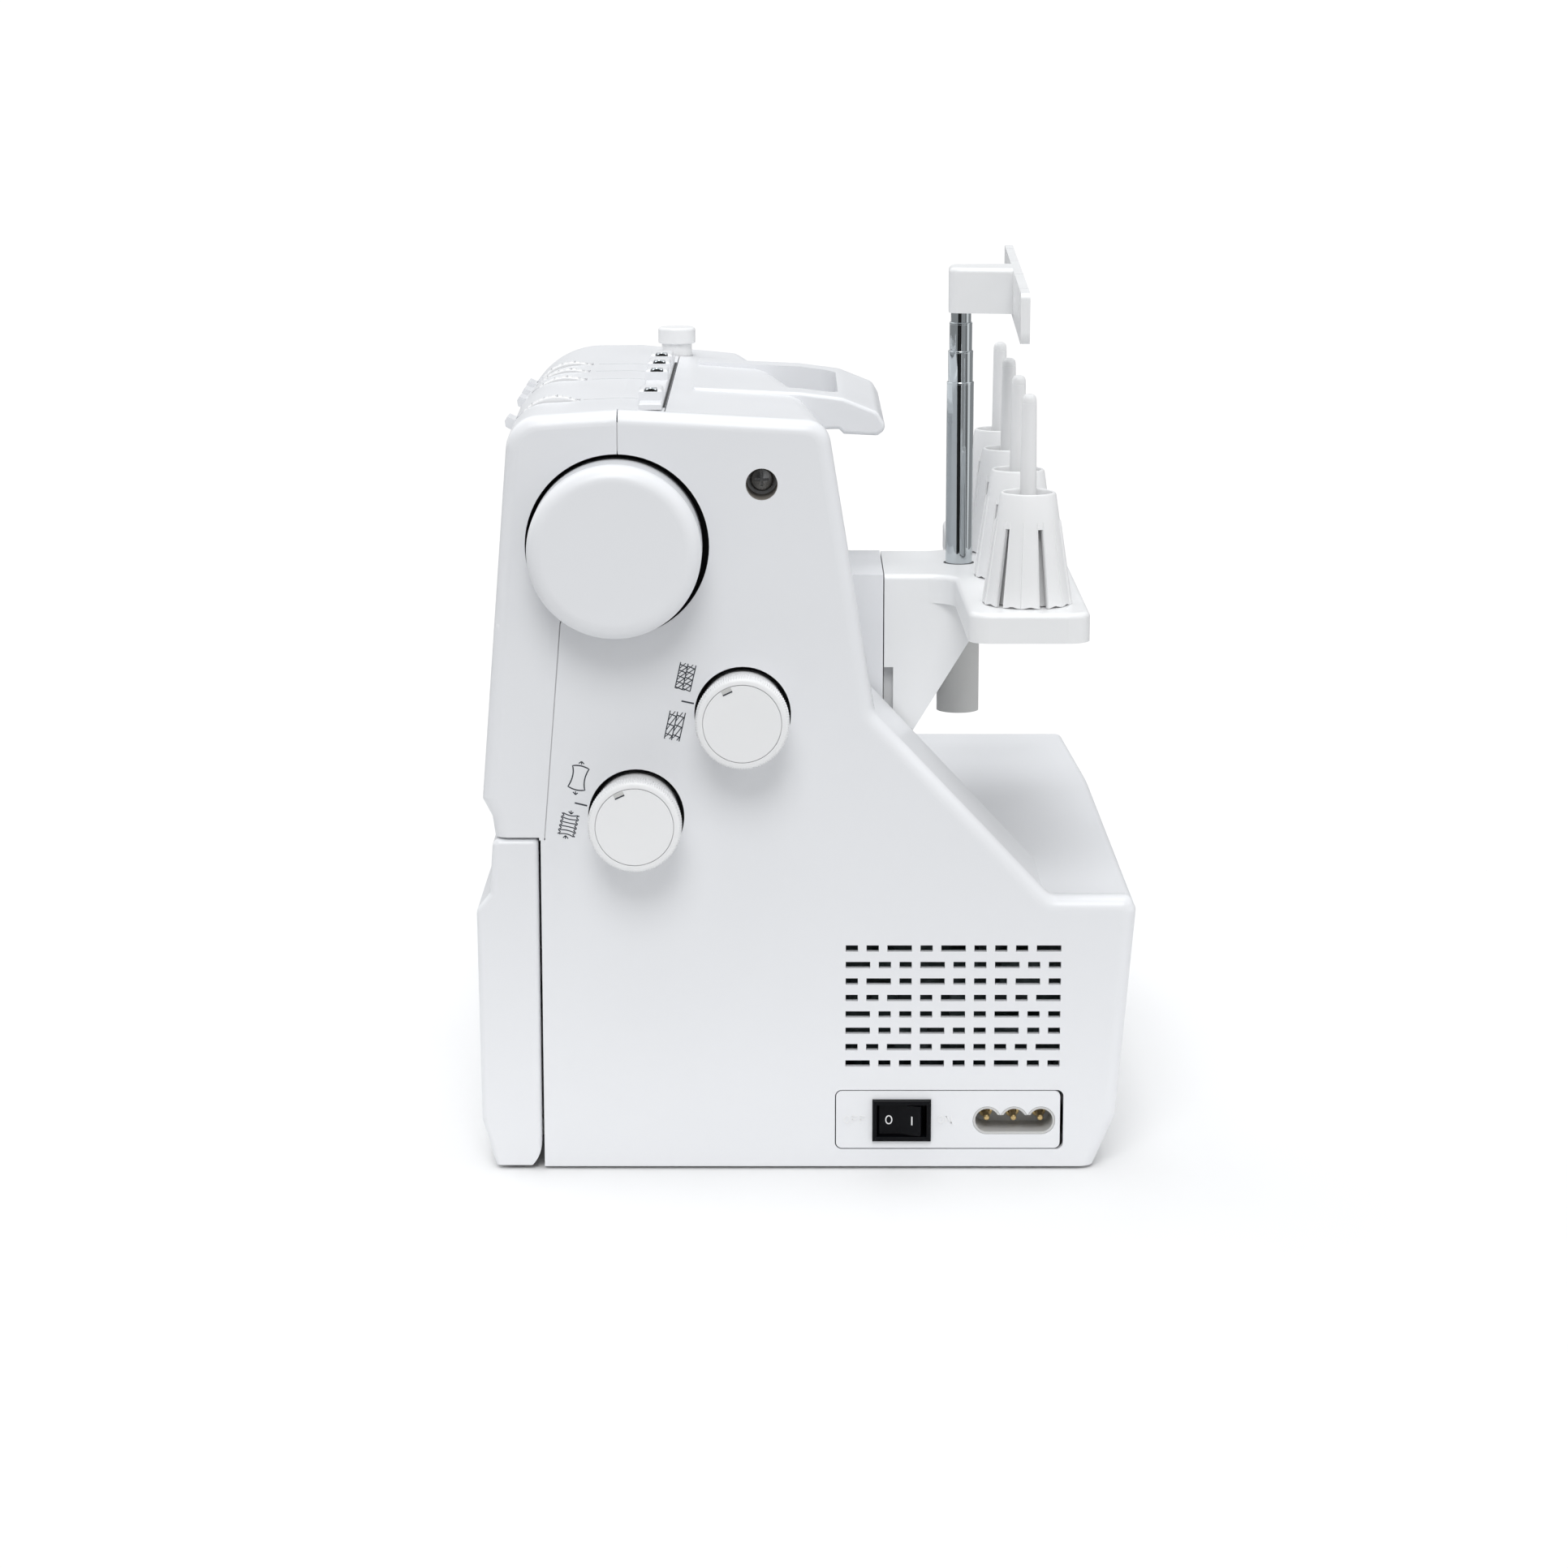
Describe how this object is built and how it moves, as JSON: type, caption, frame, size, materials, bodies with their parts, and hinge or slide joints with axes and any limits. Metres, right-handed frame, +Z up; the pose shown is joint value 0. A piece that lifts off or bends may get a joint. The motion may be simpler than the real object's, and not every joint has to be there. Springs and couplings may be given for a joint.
{
  "type": "serger overlock sewing machine",
  "caption": "White overlock sewing machine with handwheel, stitch dials, tension dials, carry handle, looper cover, spool stand with cones and telescopic thread guide.",
  "frame": {"origin": "middle of the footprint, on the surface that the machine stands on", "axes": "+X to the operator's right, towards the handwheel; +Y to the rear, towards the spool stand; +Z up"},
  "size_m": [0.326, 0.2359, 0.318],
  "materials": {
    "white_gloss": "high gloss moulded plastic, cool white",
    "white_satin": "satin moulded plastic, white",
    "grey_plastic": "satin light grey plastic",
    "chrome": "bright chrome plate",
    "steel": "ground steel",
    "cast_aluminium": "as cast",
    "black_plastic": "black gloss plastic",
    "brass": "bright brass",
    "rubber": "matt black rubber",
    "motor_paint": "dark grey paint",
    "board": "dark green circuit board",
    "clear_lens": "frosted lens"
  },
  "bodies": {
    "root": {"base_pan": "grey_plastic", "carry_handle": "white_gloss", "casing_screws": "steel", "circuit_board": "board", "cloth_plate": "white_gloss", "drive_belt": "rubber", "front_casing": "white_gloss", "inlet_panel": "white_gloss", "inlet_pins": "brass", "inlet_socket": "grey_plastic", "lamp_lens": "clear_lens", "looper_panel": "grey_plastic", "lower_knife": "steel", "machine_frame": "cast_aluminium", "motor": "motor_paint", "needle_plate": "chrome", "pole_section_1": "chrome", "pole_socket_tube": "grey_plastic", "pretension_discs": "chrome", "rear_casing": "white_gloss", "rubber_feet": "rubber", "shaft_bushings": "brass", "side_casing": "white_gloss", "spool_pins": "white_satin", "spool_stand": "white_gloss", "switch_housing": "black_plastic", "tension_bracket": "steel", "thread_guide_plate": "white_gloss", "timing_belt": "rubber"},
    "drive_shaft": {"handwheel": "white_gloss", "main_shaft": "steel"},
    "looper_drive": {"looper_shaft": "steel"},
    "motor_rotor": {"motor_shaft": "steel"},
    "length_dial": {"stitch_length_dial": "white_satin"},
    "feed_dial": {"differential_dial": "white_satin"},
    "pressure_dial": {"pressure_knob": "white_satin"},
    "rocker": {"switch_rocker": "black_plastic"},
    "pole_2": {"pole_section_2": "chrome"},
    "pole_3": {"pole_section_3": "chrome"},
    "pole_4": {"pole_section_4": "chrome"},
    "thread_guide": {"guide_bracket": "white_gloss", "thread_guide_bar": "white_gloss"},
    "cover_hinge": {"cover_hinge_bar": "steel"},
    "front_cover": {"looper_cover": "white_gloss"},
    "lifter": {"presser_lever": "black_plastic"},
    "presser": {"presser_bar": "steel"},
    "foot": {"presser_foot": "steel"},
    "needle_carrier": {"needle_bar": "steel"},
    "looper_low": {"lower_looper": "steel"},
    "looper_up": {"upper_looper": "steel"},
    "knife_up": {"upper_knife": "steel"},
    "feed": {"feed_dogs": "steel"},
    "tension_1": {"tension_dial_1": "white_satin"},
    "cone_1": {"cone_adapter_1": "white_satin"},
    "tension_2": {"tension_dial_2": "white_satin"},
    "cone_2": {"cone_adapter_2": "white_satin"},
    "tension_3": {"tension_dial_3": "white_satin"},
    "cone_3": {"cone_adapter_3": "white_satin"},
    "tension_4": {"tension_dial_4": "white_satin"},
    "cone_4": {"cone_adapter_4": "white_satin"}
  },
  "joints": [
    {"name": "handwheel_spin", "type": "hinge", "parent": "root", "child": "drive_shaft", "pos_m": [0.05, -0.0671, 0.2277], "axis": [1, 0, 0], "continuous": true},
    {"name": "looper_shaft_spin", "type": "hinge", "parent": "root", "child": "looper_drive", "pos_m": [0.05, -0.04, 0.07], "axis": [1, 0, 0], "continuous": true},
    {"name": "motor_spin", "type": "hinge", "parent": "root", "child": "motor_rotor", "pos_m": [0.1, 0.048, 0.05], "axis": [1, 0, 0], "continuous": true},
    {"name": "stitch_length_turn", "type": "hinge", "parent": "root", "child": "length_dial", "pos_m": [0.14, -0.0227, 0.1677], "axis": [1, 0, 0], "range_deg": [-135, 135]},
    {"name": "differential_turn", "type": "hinge", "parent": "root", "child": "feed_dial", "pos_m": [0.14, -0.0606, 0.1308], "axis": [1, 0, 0], "range_deg": [-135, 135]},
    {"name": "tension_turn_1", "type": "hinge", "parent": "root", "child": "tension_1", "pos_m": [0.0977, -0.0893, 0.2603], "axis": [1, 0, 0], "range_deg": [-150, 150]},
    {"name": "tension_turn_2", "type": "hinge", "parent": "root", "child": "tension_2", "pos_m": [0.0319, -0.0893, 0.2603], "axis": [1, 0, 0], "range_deg": [-150, 150]},
    {"name": "tension_turn_3", "type": "hinge", "parent": "root", "child": "tension_3", "pos_m": [0.0041, -0.0893, 0.2603], "axis": [1, 0, 0], "range_deg": [-150, 150]},
    {"name": "tension_turn_4", "type": "hinge", "parent": "root", "child": "tension_4", "pos_m": [-0.0216, -0.0893, 0.2603], "axis": [1, 0, 0], "range_deg": [-150, 150]},
    {"name": "pressure_knob_turn", "type": "hinge", "parent": "root", "child": "pressure_dial", "pos_m": [-0.07, -0.051, 0.28], "axis": [0, 0, 1], "range_deg": [-360, 360]},
    {"name": "power_switch_rock", "type": "hinge", "parent": "root", "child": "rocker", "pos_m": [0.1352, 0.0344, 0.0183], "axis": [0, 0, 1], "range_deg": [0, 20]},
    {"name": "pole_extend_1", "type": "slide", "parent": "root", "child": "pole_2", "axis": [0, 0, 1], "range_m": [0, 0.085]},
    {"name": "pole_extend_2", "type": "slide", "parent": "pole_2", "child": "pole_3", "axis": [0, 0, 1], "range_m": [0, 0.085]},
    {"name": "pole_extend_3", "type": "slide", "parent": "pole_3", "child": "pole_4", "axis": [0, 0, 1], "range_m": [0, 0.085]},
    {"name": "guide_swivel", "type": "hinge", "parent": "pole_4", "child": "thread_guide", "pos_m": [0.046, 0.0574, 0.306], "axis": [0, 0, 1], "range_deg": [-90, 90]},
    {"name": "cover_slide", "type": "slide", "parent": "root", "child": "cover_hinge", "axis": [1, 0, 0], "range_m": [0, 0.006]},
    {"name": "cover_open", "type": "hinge", "parent": "cover_hinge", "child": "front_cover", "pos_m": [0, -0.108, 0.01], "axis": [1, 0, 0], "range_deg": [0, 75]},
    {"name": "presser_lift", "type": "hinge", "parent": "root", "child": "lifter", "pos_m": [-0.06, -0.028, 0.1936], "axis": [1, 0, 0], "range_deg": [0, 50]},
    {"name": "presser_bar_rise", "type": "slide", "parent": "root", "child": "presser", "axis": [0, 0, 1], "range_m": [0, 0.005]},
    {"name": "presser_foot_tilt", "type": "hinge", "parent": "presser", "child": "foot", "pos_m": [-0.07, -0.051, 0.1305], "axis": [-1, 0, 0], "range_deg": [0, 5]},
    {"name": "needle_bar_stroke", "type": "slide", "parent": "root", "child": "needle_carrier", "axis": [0, 0, 1], "range_m": [-0.02, 0]},
    {"name": "lower_looper_swing", "type": "hinge", "parent": "root", "child": "looper_low", "pos_m": [-0.07, -0.056, 0.045], "axis": [0, 1, 0], "range_deg": [-12, 4]},
    {"name": "upper_looper_swing", "type": "hinge", "parent": "root", "child": "looper_up", "pos_m": [-0.042, -0.062, 0.06], "axis": [0, 1, 0], "range_deg": [-10, 10]},
    {"name": "upper_knife_stroke", "type": "slide", "parent": "root", "child": "knife_up", "axis": [0, 0, 1], "range_m": [-0.006, 0]},
    {"name": "feed_dog_travel", "type": "slide", "parent": "root", "child": "feed", "axis": [0, 1, 0], "range_m": [-0.002, 0.002]},
    {"name": "cone_lift_1", "type": "slide", "parent": "root", "child": "cone_1", "axis": [0, 0, 1], "range_m": [0, 0.05]},
    {"name": "cone_lift_2", "type": "slide", "parent": "root", "child": "cone_2", "axis": [0, 0, 1], "range_m": [0, 0.05]},
    {"name": "cone_lift_3", "type": "slide", "parent": "root", "child": "cone_3", "axis": [0, 0, 1], "range_m": [0, 0.05]},
    {"name": "cone_lift_4", "type": "slide", "parent": "root", "child": "cone_4", "axis": [0, 0, 1], "range_m": [0, 0.05]}
  ],
  "couplings": [
    {"joint": "looper_shaft_spin", "follows": "handwheel_spin", "ratio": 1},
    {"joint": "motor_spin", "follows": "handwheel_spin", "ratio": 3.5},
    {"joint": "presser_lift", "follows": "presser_bar_rise", "rad_per_m": 174.5}
  ]
}
